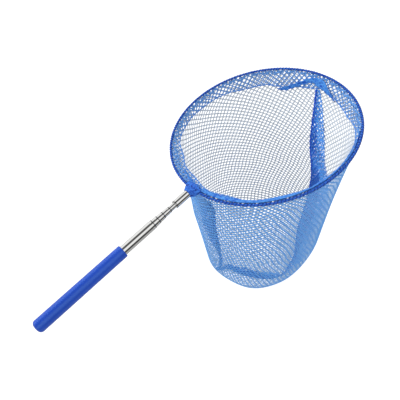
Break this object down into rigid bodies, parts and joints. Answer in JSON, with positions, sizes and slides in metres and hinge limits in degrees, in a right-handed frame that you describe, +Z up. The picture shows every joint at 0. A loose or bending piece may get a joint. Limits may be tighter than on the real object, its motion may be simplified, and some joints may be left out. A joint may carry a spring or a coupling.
{
  "type": "telescopic hand net",
  "caption": "Round mesh bag on a wire hoop, with a telescopic steel handle that slides and turns and a soft grip, for lifting leaves or small catches from water.",
  "frame": {"origin": "on the handle's axis, at the middle of the grip", "axes": "+X along the handle from the grip to the hoop, +Z up out of the net's mouth, square to the hoop, and the bag hangs towards -Z"},
  "size_m": [0.4021, 0.2092, 0.2326],
  "materials": {
    "grip_foam": "satin blue soft sleeve",
    "tube_steel": "polished stainless steel",
    "wire_steel": "drawn spring wire",
    "brass": "turned brass",
    "spring_bronze": "spring bronze strip",
    "netting": "knitted nylon mesh, blue",
    "hem_netting": "doubled and stitched nylon mesh, dark blue"
  },
  "bodies": {
    "handle": {"grip": "grip_foam", "outer_tube": "tube_steel", "tube_plug": "brass"},
    "clips_2_pair": {"clips_2": "spring_bronze"},
    "stage_2": {"tube_2": "tube_steel", "foot_2": "brass"},
    "clips_3_pair": {"clips_3": "spring_bronze"},
    "stage_3": {"tube_3": "tube_steel", "foot_3": "brass"},
    "clips_4_pair": {"clips_4": "spring_bronze"},
    "stage_4": {"tube_4": "tube_steel", "foot_4": "brass"},
    "clips_5_pair": {"clips_5": "spring_bronze"},
    "net_head": {"tube_5": "tube_steel", "foot_5": "brass", "tip_bush": "brass", "ferrule": "tube_steel", "wire_plug": "brass", "hoop_wire": "wire_steel", "rim_casing": "hem_netting", "neck_gather": "hem_netting", "front_net": "netting", "back_net": "netting", "hem_flap": "netting", "seam_allowance": "hem_netting"}
  },
  "joints": [
    {"name": "slide_2", "type": "slide", "parent": "handle", "child": "clips_2_pair", "axis": [1, 0, 0], "range_m": [0, 0.1194]},
    {"name": "turn_2", "type": "hinge", "parent": "clips_2_pair", "child": "stage_2", "pos_m": [0, 0, 0], "axis": [1, 0, 0], "continuous": true},
    {"name": "slide_3", "type": "slide", "parent": "stage_2", "child": "clips_3_pair", "axis": [1, 0, 0], "range_m": [0, 0.1169]},
    {"name": "turn_3", "type": "hinge", "parent": "clips_3_pair", "child": "stage_3", "pos_m": [0, 0, 0], "axis": [1, 0, 0], "continuous": true},
    {"name": "slide_4", "type": "slide", "parent": "stage_3", "child": "clips_4_pair", "axis": [1, 0, 0], "range_m": [0, 0.1149]},
    {"name": "turn_4", "type": "hinge", "parent": "clips_4_pair", "child": "stage_4", "pos_m": [0, 0, 0], "axis": [1, 0, 0], "continuous": true},
    {"name": "slide_5", "type": "slide", "parent": "stage_4", "child": "clips_5_pair", "axis": [1, 0, 0], "range_m": [0, 0.1144]},
    {"name": "turn_5", "type": "hinge", "parent": "clips_5_pair", "child": "net_head", "pos_m": [0, 0, 0], "axis": [1, 0, 0], "continuous": true}
  ]
}
